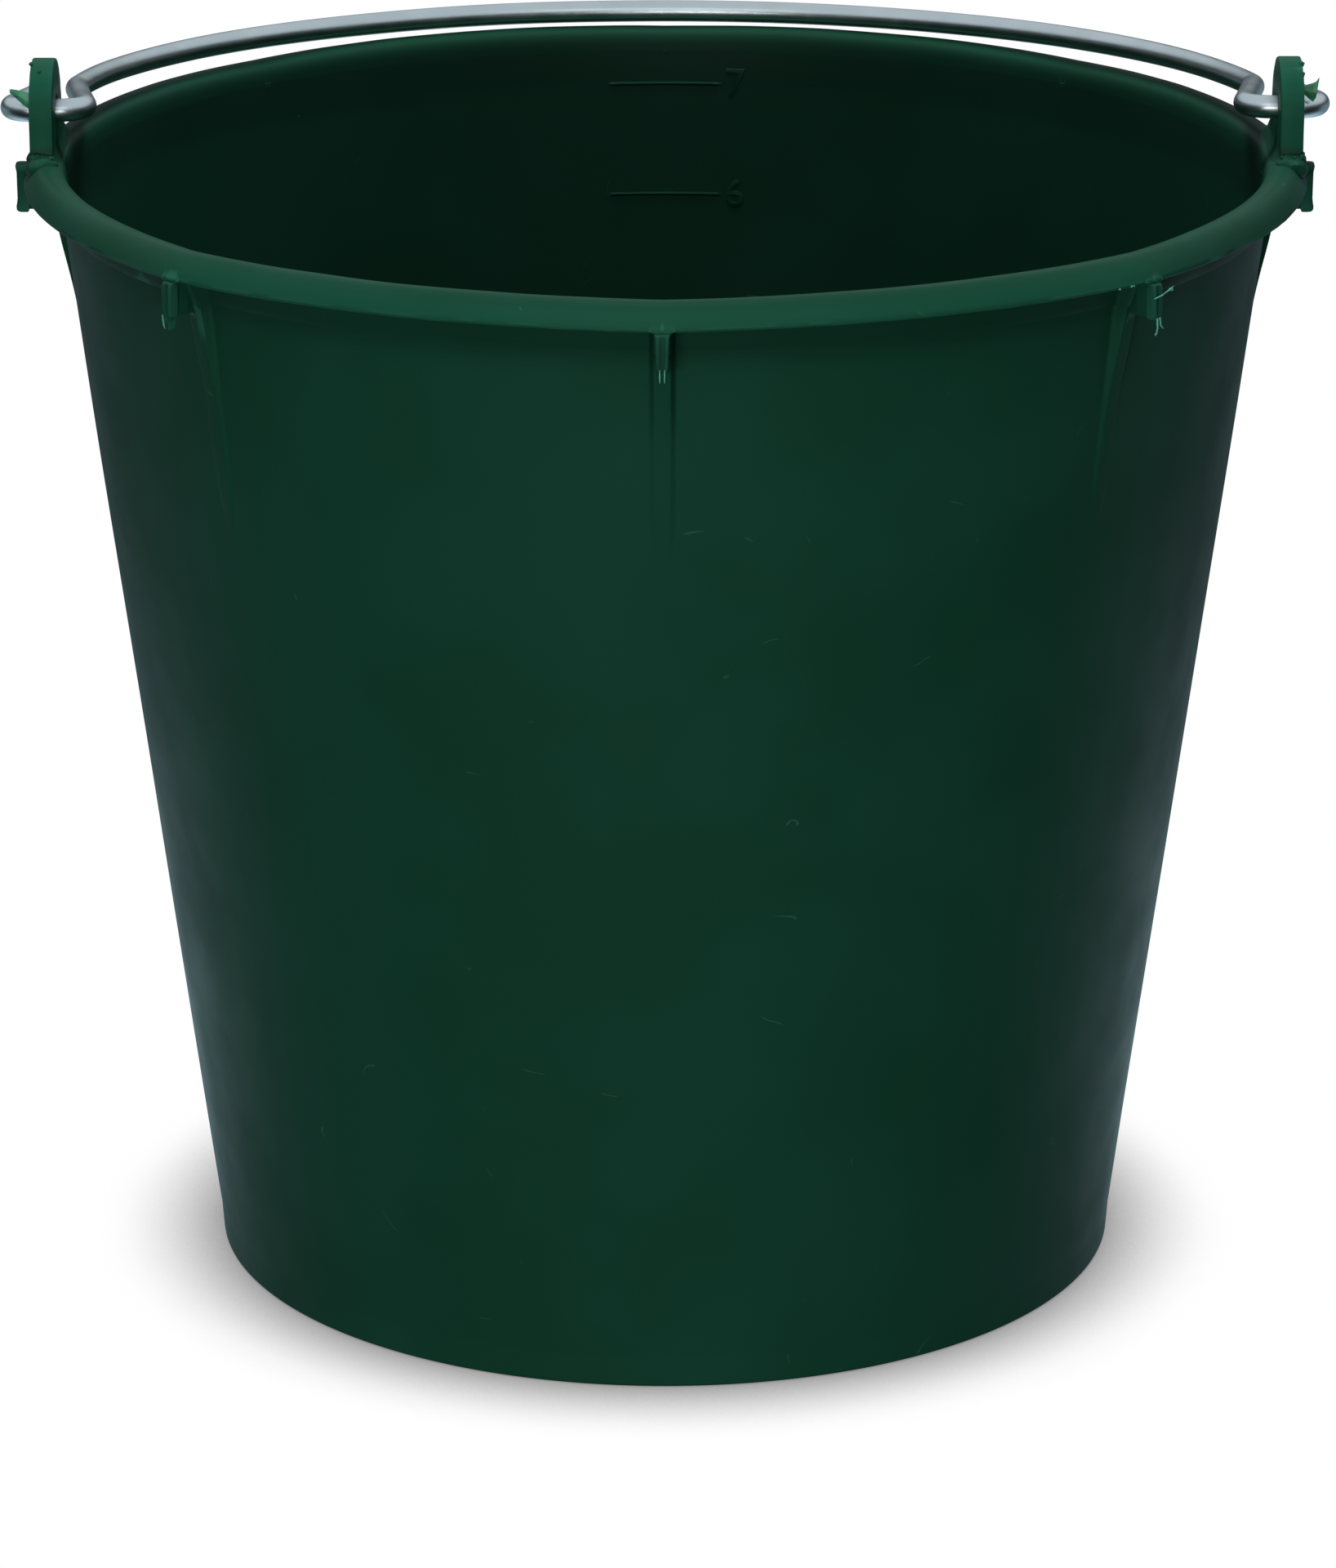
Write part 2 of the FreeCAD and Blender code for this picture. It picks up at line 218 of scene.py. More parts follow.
def shade(thing, sharp_degrees):
    """Smooth shading, with sharp edges where faces meet at more than an angle."""
    work = bmesh.new()
    work.from_mesh(thing.data)
    limit = math.radians(sharp_degrees)
    for face in work.faces:
        face.smooth = True
    for edge in work.edges:
        edge.smooth = len(edge.link_faces) == 2 and edge.calc_face_angle() < limit
    work.to_mesh(thing.data)
    work.free()
    return thing


def wobble(scale, *place):
    """Smooth noise from -1 to 1 at a place, with features about a scale long."""
    return noise.noise(Vector(place) / scale)


def smooth(low, high, value):
    """0 below low, 1 above high and a smooth step between."""
    share = min(max((value - low) / (high - low), 0.0), 1.0)
    return share * share * (3 - 2 * share)


def arc(centre, radius, first, last, steps):
    """Points on an arc between two angles in degrees, both ends included."""
    points = []
    for step in range(steps + 1):
        angle = math.radians(first + (last - first) * step / steps)
        points.append((centre[0] + radius * math.cos(angle), centre[1] + radius * math.sin(angle)))
    return points


def line(first, last, steps):
    """Points on a line, without its two ends."""
    run, rise = last[0] - first[0], last[1] - first[1]
    shares = [step / steps for step in range(1, steps)]
    return [(first[0] + run * share, first[1] + rise * share) for share in shares]


def arc_between(first, last, radius, turn, steps):
    """Points on the arc from first to last, turning left (1) or right (-1), ends included."""
    chord = Vector(last) - Vector(first)
    middle = (Vector(first) + Vector(last)) / 2
    height = math.sqrt(radius ** 2 - (chord.length / 2) ** 2)
    centre = middle + Vector((-chord.y, chord.x)).normalized() * height * turn
    start = math.degrees(math.atan2(first[1] - centre.y, first[0] - centre.x))
    sweep = 2 * math.degrees(math.asin(chord.length / 2 / radius)) * turn
    return arc(centre, radius, start, start + sweep, steps)


def bezier(first, pull_first, pull_last, last, steps):
    """Points on a cubic curve, both ends included."""
    points = []
    for step in range(steps + 1):
        t = step / steps
        shares = ((1 - t) ** 3, 3 * t * (1 - t) ** 2, 3 * t * t * (1 - t), t ** 3)
        corners = (first, pull_first, pull_last, last)
        points.append(tuple(sum(s * c[axis] for s, c in zip(shares, corners)) for axis in (0, 1)))
    return points


def round_pail(radius, azimuth, height):
    """A point at a radius and height, at an azimuth in radians from +X."""
    return Vector((radius * math.cos(azimuth), radius * math.sin(azimuth), height))


# -------------------- pail

def outer_wall(height):
    """Radius of the wall's outer face."""
    return WALL_FOOT_R + (height - FOOT_Z) * WALL_SLOPE


def inner_wall(height):
    """Radius of the wall's inner face."""
    return outer_wall(height) - WALL_THICK


def heights(low, high, step):
    """Even heights from low to high, both included."""
    count = max(round((high - low) / step), 1)
    return [low + (high - low) * index / count for index in range(count + 1)]


def shell_profile():
    """Each row's kind, radius and height, from the underside's middle to the floor's middle."""
    rows = []

    def add(kind, points):
        rows.extend((kind, radius, height) for radius, height in points)

    gate_z = RECESS_Z - GATE_DEPTH
    add("under", [(0, gate_z), (GATE_R - 0.6, gate_z), (GATE_R, RECESS_Z)])
    ring_top = RING_INNER_R - RING_DRAFT
    add("under", [(radius, RECESS_Z) for radius in (6, 12, 24, 40, 56, 72, ring_top - 2.0)])
    add("under", arc((ring_top - RING_ROUND, RECESS_Z - RING_ROUND), RING_ROUND, 90, 0, 5))
    add("under", line((ring_top, RECESS_Z - RING_ROUND), (RING_INNER_R - 0.1, 0.3), 4))
    add("under", [(RING_INNER_R - 0.1, 0.3), (RING_INNER_R + 0.2, 0), (BASE_R - 1.5, 0)])
    add("wall", arc((BASE_R - BASE_ROUND, BASE_ROUND), BASE_ROUND, -90, 0, 5))
    add("wall", line((BASE_R, BASE_ROUND), (WALL_FOOT_R, FOOT_Z), 5))
    add("wall", [(outer_wall(z) - 0.04, z) for z in (FOOT_Z - 0.1, FOOT_Z + 0.8)])
    # rows far apart on the plain wall, then close together over the ribs
    add("wall", [(outer_wall(z), z) for z in heights(FOOT_Z + 2.5, RIB_FOOT - 4, 9.0)])
    add("wall", [(outer_wall(z), z) for z in heights(RIB_FOOT - 1.5, STEP_Z - 0.5, 1.6)])
    wall = outer_wall(STEP_Z)
    collar = wall + STEP_DEPTH
    flared = collar + COLLAR_FLARE
    add("step", [(wall + 0.02, STEP_Z - 0.06), (collar - 0.06, STEP_Z), (collar, STEP_Z + 0.1)])
    add("collar", line((collar, STEP_Z + 0.1), (flared, UNDER_Z), 4))
    add("collar", [(flared + 0.1, UNDER_Z - 0.1), (flared + 0.5, UNDER_Z)])
    lip = RIM_R - LIP_DRAFT
    add("rim", [(lip - 1.6, UNDER_Z), (lip - 0.5, UNDER_Z)])
    add("flash", [(lip - 0.08, UNDER_Z + 0.04), (lip + 0.1, UNDER_Z + 0.28)])
    # the rim's face up to its crest, its top in to the edge, and the turn down into the mouth
    face_foot = (RIM_R - 0.1, UNDER_Z + 0.5)
    crest = (RIM_R - RIM_CREST_IN, RIM_TOP)
    edge = (RIM_R - RIM_EDGE_IN, RIM_TOP - 1.0)
    mouth = (inner_wall(MOUTH_Z), MOUTH_Z - 0.5)
    pulls = (RIM_R - 1.0, UNDER_Z + 2.3), (RIM_R - 2.5, RIM_TOP)
    add("rim", bezier(face_foot, *pulls, crest, 10))
    pulls = (crest[0] - 1.4, RIM_TOP), (edge[0] + 0.7, RIM_TOP - 0.4)
    add("rim", bezier(crest, *pulls, edge, 6)[1:])
    pulls = (edge[0] - 0.55, RIM_TOP - 1.4), (mouth[0] + 0.2, RIM_TOP - 2.6)
    add("rim", bezier(edge, *pulls, mouth, 6)[1:])
    corner_z = FLOOR_Z + FLOOR_ROUND
    add("inside", [(inner_wall(z), z) for z in reversed(heights(corner_z, MOUTH_Z - 2.0, 8.0))])
    corner = (inner_wall(corner_z), corner_z)
    floor_edge = (corner[0] - FLOOR_ROUND, FLOOR_Z)
    add("inside", arc_between(corner, floor_edge, FLOOR_ROUND, -1, 6)[1:])
    add("inside", [(radius, FLOOR_Z) for radius in (80, 66, 50, 34, 18, 6, 0)])
    return rows


def rib_rise(height):
    """How far a rib stands off the wall: a long thin toe, then a steeper swell up to the rim."""
    toe = 0.5 * smooth(RIB_FOOT, 193.0, height) ** 0.8
    swell = 1.6 * smooth(191.0, 214.5, height) ** 1.25
    return toe + swell + 1.0 * smooth(211.0, UNDER_Z, height)


def rib_share(height, across):
    """Share of a rib's full rise at a distance from its middle: sloping sides, a pointed toe."""
    half = RIB_WIDTH / 2 * (0.35 + 0.65 * smooth(RIB_FOOT, 188.0, height) ** 0.6)
    return 1 - smooth(0.72 * half, 1.38 * half, abs(across))


def columns():
    """Azimuths of the shell's columns, closer together over each rib."""
    edge = math.radians(RIB_COLUMNS_HALF)
    found = []
    for lug in range(LUGS):
        here, there = lug_azimuth(lug), lug_azimuth(lug + 1)
        found += [here - edge + 2 * edge * step / RIB_COLUMNS for step in range(RIB_COLUMNS + 1)]
        gap = there - here - 2 * edge
        found += [here + edge + gap * step / WALL_COLUMNS for step in range(1, WALL_COLUMNS)]
    return found


def lug_azimuth(number):
    """A lug's azimuth in radians: evenly spaced, but for what the moulding's lugs wander."""
    return math.radians(number * 360 / LUGS + LUG_WANDER.get(number % LUGS, 0.0))


def nearest_lug(azimuth):
    """Azimuth of the lug nearest to another azimuth, both in radians."""
    return lug_azimuth(round(azimuth / (2 * math.pi) * LUGS))


def drawn_in(height, azimuth):
    """How far wall and rim pull in between the lugs, which leaves the rim faintly eight-sided."""
    away = abs(azimuth - nearest_lug(azimuth)) / (math.pi / LUGS)
    return PULL_IN * smooth(150.0, RIM_TOP, height) * away * (2 - away)


def sag(height, azimuth):
    """How far the rim dips where a lug hangs from it."""
    away = abs(azimuth - nearest_lug(azimuth)) / math.radians(SAG_REACH)
    return SAG * smooth(214.0, 223.0, height) * max(1 - away, 0) ** 1.3


def unevenness(place, height):
    """How far the wall strays outwards, growing from nothing at the foot."""
    return 0.16 * wobble(70.0, *place) * smooth(0.0, 30.0, height)


def shell_point(kind, radius, height, azimuth):
    """One point of the shell, with the small departures of a real moulding."""
    across = (azimuth - nearest_lug(azimuth)) * radius
    place = round_pail(radius, azimuth, height)
    # 1 within 8 degrees of an ear and 0 beyond 15
    near_ear = smooth(math.cos(math.radians(15)), math.cos(math.radians(8)), abs(math.cos(azimuth)))
    if kind != "under":
        radius -= drawn_in(height, azimuth)
    radius += unevenness(place, height)
    if kind in ("wall", "step", "collar"):
        radius += rib_rise(height) * rib_share(height, across)
    if kind == "step":
        height += 0.07 * wobble(2.5, *place)
        radius += 0.05 * wobble(1.6, *place)
    if kind == "flash":
        radius += (0.10 + 0.5 * near_ear) * max(wobble(2.2, *place), 0) + 0.04
        height -= 0.12 * max(wobble(3.1, *place), 0)
    if kind == "rim":
        radius += 0.05 * wobble(9.0, *place)
        height += 0.06 * wobble(14.0, *place)
    return round_pail(radius, azimuth, height - sag(height, azimuth))


def make_shell():
    """Wall, floor, foot ring, collar, rim and ribs in one turned surface."""
    angles = columns()
    rings = []
    for kind, radius, height in shell_profile():
        if radius == 0:
            rings.append([Vector((0, 0, height))])
        else:
            rings.append([shell_point(kind, radius, height, azimuth) for azimuth in angles])
    return solid("pail_moulding", rings)


def turned_out(rings, azimuth):
    """Rings given as (radial, across, height), carried round the pail to an azimuth in radians."""
    turn = Matrix.Rotation(azimuth, 3, "Z")
    return [[turn @ Vector(point) for point in ring] for ring in rings]


def lug_section(inner, outer, width, hollow, height):
    """A lug's outline at one height: two round ridges down its face, with a hollow between."""
    half = width / 2
    corner = min(0.45, 0.4 * half)
    ridge, steps = 0.6, 8
    outline = [(inner, -half)]
    for step in range(-steps, steps + 1):
        share = abs(step) / steps
        beyond = max(share - ridge, 0) / (1 - ridge)
        rounded = corner * (1 - math.sqrt(1 - beyond ** 2))
        radial = outer - rounded - hollow * (1 - smooth(0.0, ridge, share))
        outline.append((radial, half * step / steps))
    outline.append((inner, half))
    return [(radial, side, height) for radial, side in outline]


def make_lug(number):
    """A lug under the rim's edge: two ridges down its face, tapering towards its foot."""
    beside_ear = number in (0, LUGS // 2)
    face = LUG_OUTER_R if beside_ear else LUG_FACE_R
    inner = LUG_INNER_R
    # each section's height, inner radius, outer radius, width and hollow
    if beside_ear:
        stations = [
            (224.15, inner, face - 0.5, 2.3, 0), (224.0, inner, face - 0.1, 2.7, 0),
            (223.5, inner, face, 2.9, 0.05), (222.3, inner, face - 0.22, 2.8, 0.14),
            (217.0, inner, face - 0.25, 2.6, 0.14), (216.0, inner, face - 0.12, 2.6, 0.12),
            (215.4, inner, face, 2.8, 0.06), (214.7, inner + 0.05, face - 0.05, 2.7, 0.02),
            (214.35, inner + 0.2, face - 0.35, 2.3, 0.02), (214.2, inner + 0.5, face - 0.8, 1.6, 0),
        ]
    else:
        stations = [
            (223.0, inner - 1.0, RIM_R - 0.9, 4.4, 0), (222.3, inner - 0.6, RIM_R - 0.1, 5.4, 0),
            (221.75, inner - 0.3, RIM_R + 0.2, 5.4, 0.02), (221.4, inner, RIM_R + 0.15, 3.6, 0.05),
            (221.1, inner, face - 0.45, 2.8, 0.1), (220.6, inner, face - 0.15, 2.65, 0.3),
            (218.0, inner, face, 2.5, 0.42), (215.4, inner, face, 2.25, 0.42),
            (214.8, inner + 0.05, face - 0.15, 2.1, 0.2), (214.55, inner + 0.3, face - 0.5, 1.8, 0),
        ]
    rings = [lug_section(*rest, height) for height, *rest in stations]
    return solid("lug", turned_out(rings, lug_azimuth(number)))


def make_tip(number):
    """The thin end of a lug, where it was cut off the gate."""
    wide = 1.15 if number == LUG_WIDE_TIP else 1.0
    inner, face, top = LUG_INNER_R, LUG_FACE_R, 215.2
    stations = [
        (top, inner + 0.2, face - 0.1, 1.7 * wide, 0.35),
        (213.9, inner + 0.3, face - 0.1, 1.6 * wide, 0.35),
        (212.7, inner + 0.4, face - 0.2, 1.5 * wide, 0.3),
        (212.4, inner + 0.6, face - 0.5, 1.2 * wide, 0.1),
    ]
    lean = 0.2 * wobble(1.0, number * 7.3, 0.5, 0.5)
    rings = []
    for height, *rest in stations:
        slide = lean * (top - height)
        rings.append([(radial, side + slide, z) for radial, side, z in lug_section(*rest, height)])
    return solid("tip", turned_out(rings, lug_azimuth(number)))


def thread(places, radii):
    """A thin uneven strand of flash through the given places."""
    last = len(places) - 1
    rings = []
    for index, place in enumerate(places):
        ahead = Vector(places[min(index + 1, last)]) - Vector(places[max(index - 1, 0)])
        side = ahead.orthogonal().normalized()
        over = ahead.normalized().cross(side)
        ring = []
        for step in range(8):
            angle = math.pi * step / 4
            spoke = side * math.cos(angle) + over * math.sin(angle)
            ring.append(Vector(place) + spoke * radii[index])
        rings.append(ring)
    return solid("strand", rings)


def make_flash():
    """Pale stretched flash on the three lugs in front: torn whiskers, ridges and a smear."""
    proud = LUG_OUTER_R - 0.35
    whisker = [
        (proud, -1.7, 218.9), (proud + 0.3, 0.4, 219.4),
        (proud + 0.1, 2.4, 219.95), (proud - 0.3, 4.2, 220.3),
    ]
    flake = [(proud - 0.1, 2.6, 220.1), (proud - 0.1, 3.3, 219.9), (proud - 0.3, 4.0, 219.6)]
    left_prong = [
        (proud - 0.3, -0.35, 215.0), (proud - 0.1, -0.45, 213.2),
        (proud, -0.8, 212.3), (proud, -1.2, 211.9),
    ]
    right_prong = [(proud - 0.3, 0.4, 215.0), (proud - 0.2, 0.55, 213.5), (proud - 0.1, 1.2, 212.8)]
    smear = [
        (proud - 0.05, -0.7, 215.2), (proud - 0.05, -0.5, 214.2),
        (proud - 0.1, -0.35, 213.3), (proud - 0.25, -0.35, 212.6),
    ]
    strands = [
        (LUG_WHISKER, whisker, (0.1, 0.17, 0.15, 0.07)), (LUG_WHISKER, flake, (0.12, 0.36, 0.1)),
        (LUG_WHISKER, left_prong, (0.22, 0.2, 0.2, 0.24)),
        (LUG_WHISKER, right_prong, (0.22, 0.19, 0.14)),
        (LUG_WIDE_TIP, smear, (0.1, 0.17, 0.17, 0.1)),
    ]
    for side in (-0.43, 0.43):
        ridge = [
            (proud - 0.2, side, 215.0), (proud - 0.12, side, 214.2),
            (proud - 0.14, side, 213.2), (proud - 0.25, side, 212.55),
        ]
        strands.append((LUG_FRONT, ridge, (0.08, 0.16, 0.15, 0.08)))
    things = []
    for number, places, radii in strands:
        turn = Matrix.Rotation(lug_azimuth(number), 3, "Z")
        things.append(thread([turn @ Vector(place) for place in places], radii))
    # crumbs on the rim's edge beside the right lug
    for degrees, size in ((-48.6, 0.26), (-47.2, 0.30), (-46.9, 0.22)):
        centre = round_pail(RIM_R - 0.2, math.radians(degrees), UNDER_Z - 0.1)
        things.append(make_blob(centre, (size, size, size * 0.8), degrees))
    return shade(joined("torn_gates", things), sharp_degrees=50)


def make_web(number):
    """The thin plate that ties a lug to the rib behind it, with a straight lower edge."""
    low, high, thick = 214.8, UNDER_Z + 0.3, 1.4
    root = outer_wall(low)
    outline = [(root - 1.0, high), (root - 1.0, 212.6), (root + 1.9, 212.9)]
    outline += arc((root + 3.6, 213.3), 1.5, 170, 90, 5)
    outline += [(LUG_INNER_R + 0.5, low), (LUG_INNER_R + 0.5, high)]
    middle = Vector((sum(p[0] for p in outline), sum(p[1] for p in outline))) / len(outline)
    rings = []
    for side, inset in ((-0.5, 0.03), (-0.42, 0), (0.42, 0), (0.5, 0.03)):
        drawn = [Vector(point).lerp(middle, inset) for point in outline]
        rings.append([(radial, side * thick, height) for radial, height in drawn])
    return solid("web", turned_out(rings, lug_azimuth(number)))


def ear_outline(centre_z):
    """The ear's outline as (across, height): it flares out at the foot, more so behind."""
    foot_z = RIM_TOP - 0.6
    low = foot_z - 2.6
    back_root, front_root = EAR_HALF + FLARE_BACK, EAR_HALF + FLARE_FRONT
    # many points along the foot, since the hole takes one from each and has to be round
    points = [(-front_root, low)] + line((-front_root, low), (back_root, low), 20)
    points += [(back_root, low), (back_root, foot_z)]
    points += arc((back_root, foot_z + FLARE_BACK), FLARE_BACK, 270, 180, 12)[1:]
    points += arc((0, centre_z), EAR_HALF, 0, 180, 44)
    points += [(-EAR_HALF, 232.0)]
    points += arc((-front_root, foot_z + FLARE_FRONT), FLARE_FRONT, 0, -90, 7)[:-1]
    return points + [(-front_root, foot_z)]


def make_ear(side, out, top):
    """An arched plate with crisp edges and a hole for the bail, as one ring of faces."""
    outline = ear_outline(top - EAR_HALF)
    hole_centre = Vector((0, HINGE_Z))
    hole = [(Vector(point) - hole_centre).normalized() * HOLE_R + hole_centre for point in outline]
    soft = 0.4
    # the section runs round the plate's thickness: hole, inner face, edge, outer face, hole
    section = [
        (0.35, 0, 0.0), (0.0, 0.35, 0.0), (0.0, 0, 0.5), (0.0, -soft, 1.0), (0.12, -0.12, 1.0),
        (soft, 0, 1.0), (EAR_THICK / 2, 0.0, 1.0), (EAR_THICK - soft, 0, 1.0),
        (EAR_THICK - 0.12, -0.08, 1.0), (EAR_THICK, -soft, 1.0), (EAR_THICK, 0, 0.5),
        (EAR_THICK, 0.4, 0.0), (EAR_THICK - 0.4, 0, 0.0),
    ]
    rings = []
    for depth, grow, share in section:
        ring = []
        for far, near in zip(outline, hole):
            far = Vector(far)
            place = near.lerp(far, share) + (far - near).normalized() * grow
            rough = 0.05 * wobble(1.8, place.x, place.y, depth * 3 + side)
            ring.append(Vector((side * (EAR_X + out + depth + rough), place.x, place.y)))
        rings.append(ring)
    return solid("ear", rings, looped=True)


def make_gusset(side, out):
    """The hollow fillet from an ear's inner face down into the mouth of the pail."""
    rings = []
    plate = EAR_X + out
    for across in range(GUSSET_FRONT, GUSSET_BACK + 1):
        reach = (12.0, 25.0) if across > 0 else (6.0, 14.0)
        rise = 4.4 * (1 - smooth(*reach, abs(across)))
        mouth = math.sqrt(GUSSET_FOOT_R ** 2 - across ** 2)
        top = (plate + 0.3, 226.0 + rise)
        foot = (mouth + 0.05, 224.0)
        pulls = (plate - 0.1, top[1] - 0.75 * rise - 0.3), (mouth + 0.9, 225.9)
        curve = bezier(top, *pulls, foot, 8)
        curve += [(mouth + 0.5, 222.6), (plate + 1.6, 222.6), (plate + 1.6, top[1] - 0.3)]
        rings.append([(side * x, across, z) for x, z in curve])
    return solid("gusset", rings)


def make_blob(centre, size, seed, roughness=0.28):
    """A rough lump of flash, squashed and uneven."""
    work = bmesh.new()
    bmesh.ops.create_icosphere(work, subdivisions=3, radius=1.0)
    points = []
    for vert in work.verts:
        push = 1 + roughness * wobble(0.5, *(vert.co + Vector((seed * 3.1, 0, 0))))
        points.append([centre[axis] + vert.co[axis] * size[axis] * push for axis in range(3)])
    faces = [tuple(vert.index for vert in face.verts) for face in work.faces]
    work.free()
    return outward(mesh_object("blob", points, faces))


def ear_flash(side, out, top):
    """A smooth weld with a few lumps where an ear grew out of the rim, and burrs on its edge."""
    draw = random.Random(3 if side < 0 else 4)
    inner, outer = EAR_X + out, EAR_X + out + EAR_THICK
    weld = (side * (inner + 2.1), -(EAR_HALF + 1.3), RIM_TOP - 1.2)
    lumps = [make_blob(weld, (3.3, 3.6, 2.5), side, 0.14)]
    for step in range(4):
        centre = (
            side * (inner + 0.5 + 1.2 * step + draw.uniform(-0.3, 0.3)),
            -(EAR_HALF + 1.5 + draw.uniform(-0.2, 0.3)),
            RIM_TOP + 0.7 + draw.uniform(-0.3, 0.3),
        )
        size = (draw.uniform(0.5, 0.8), draw.uniform(0.7, 1.0), draw.uniform(0.4, 0.7))
        lumps.append(make_blob(centre, size, draw.uniform(0, 9), 0.45))
    lumps.append(make_blob((side * (outer + 0.1), 0.0, 225.0), (1.5, 2.4, 1.5), side))
    if side < 0:
        burrs = [
            ((outer - 0.15, -3.0, top - 0.45), (0.45, 0.6, 0.35)),
            ((outer - 1.9, -5.3, top - 1.55), (0.4, 0.45, 0.4)),
        ]
    else:
        burrs = [
            ((outer - 0.2, -3.0, top - 0.75), (0.6, 0.8, 0.5)),
            ((outer - 0.2, -5.6, top - 2.3), (0.45, 0.6, 0.5)),
        ]
    for (x, y, z), size in burrs:
        lumps.append(make_blob((side * x, y, z), size, z, 0.5))
    return lumps


def make_pail():
    """The whole green moulding in one surface."""
    shell = make_shell()
    pieces = []
    for number in range(LUGS):
        pieces += [make_lug(number), make_web(number)]
        if number not in (0, LUGS // 2, LUG_WHISKER):
            pieces.append(make_tip(number))
    for side, out, top in EARS:
        pieces.append(make_ear(side, out, top))
        pieces.append(make_gusset(side, out))
        pieces += ear_flash(side, out, top)
    return shade(united(shell, pieces), sharp_degrees=38)


# -------------------- litre marks

MARKS = 7
LONG_MARK = 5
MARK_ARC = 12.2
LONG_MARK_ARC = 16.2
MARK_WIDTH = 0.7
MARK_RELIEF = 0.35
DIGIT_HEIGHT = 6.0
# a digit's height as a share of the typeface's size, and its place past the line's end
DIGIT_SHARE = 0.73
DIGIT_GAP = 2.9
CUBIC_MM_PER_LITRE = 1e6


def litre_height(litres):
    """Height at which the tapered inside holds this many litres above the floor."""
    floor_radius = inner_wall(FLOOR_Z)
    cubed = floor_radius ** 3 + 3 * WALL_SLOPE * CUBIC_MM_PER_LITRE * litres / math.pi
    return FLOOR_Z + (cubed ** (1 / 3) - floor_radius) / WALL_SLOPE


def on_inner_wall(across, height, proud):
    """A point on the inside of the back wall, standing proud of it; across runs towards +X."""
    radius = inner_wall(height)
    azimuth = math.pi / 2 - across / radius
    place = round_pail(radius, azimuth, height)
    radius += unevenness(place, height) - drawn_in(height, azimuth)
    return round_pail(radius - proud, azimuth, height)


def mark_line(height, half_length):
    """A raised line round the back wall, with a rounded face and tapered ends."""
    rings = []
    steps = round(half_length * 2 / 0.8)
    for step in range(steps + 1):
        across = -half_length + 2 * half_length * step / steps
        end = 1 - 0.8 * smooth(half_length - 0.6, half_length, abs(across))
        ring = []
        for angle in range(0, 181, 30):
            up = MARK_WIDTH / 2 * math.cos(math.radians(angle)) * end
            proud = MARK_RELIEF * math.sin(math.radians(angle)) * end
            ring.append(on_inner_wall(across, height + up, proud))
        for up in (-0.2, 0.2):
            ring.append(on_inner_wall(across, height + up * end, -0.4))
        rings.append(ring)
    return solid("mark", rings)


def digit(number, across, height):
    """A moulded digit on the back wall, from a plain typeface, centred at a place."""
    text = bpy.data.curves.new("digit", "FONT")
    text.body = str(number)
    text.size = DIGIT_HEIGHT / DIGIT_SHARE
    text.extrude = 0.3
    text.bevel_depth = 0.09
    text.bevel_resolution = 1
    text.offset = 0.06
    text.resolution_u = 6
    text.align_x = text.align_y = "CENTER"
    holder = bpy.data.objects.new("digit", text)
    bpy.context.scene.collection.objects.link(holder)
    depsgraph = bpy.context.evaluated_depsgraph_get()
    mesh = bpy.data.meshes.new_from_object(holder.evaluated_get(depsgraph))
    work = bmesh.new()
    work.from_mesh(mesh)
    bmesh.ops.remove_doubles(work, verts=work.verts, dist=0.001)
    points = [on_inner_wall(across + v.co.x, height + v.co.y, v.co.z - 0.1) for v in work.verts]
    faces = [tuple(vert.index for vert in face.verts) for face in work.faces]
    work.free()
    bpy.data.objects.remove(holder)
    return outward(mesh_object("digit", points, faces))


def joined(name, things):
    """One object from several, which are used up."""
    points, faces = [], []
    for thing in things:
        mesh, first = thing.data, len(points)
        points += [vert.co / MM for vert in mesh.vertices]
        faces += [tuple(first + index for index in face.vertices) for face in mesh.polygons]
        bpy.data.objects.remove(thing)
    return mesh_object(name, points, faces)


def make_marks():
    """Seven litre lines with their digits."""
    things = []
    for litres in range(1, MARKS + 1):
        half = LONG_MARK_ARC if litres == LONG_MARK else MARK_ARC
        height = litre_height(litres)
        things.append(mark_line(height, half))
        things.append(digit(litres, half + DIGIT_GAP, height))
    return shade(joined("litre_marks", things), sharp_degrees=40)


# -------------------- bail

def turned(point, angle, length):
    """The place at a distance from a point, in a direction in degrees."""
    direction = Vector((math.cos(math.radians(angle)), math.sin(math.radians(angle))))
    return Vector(point) + direction * length


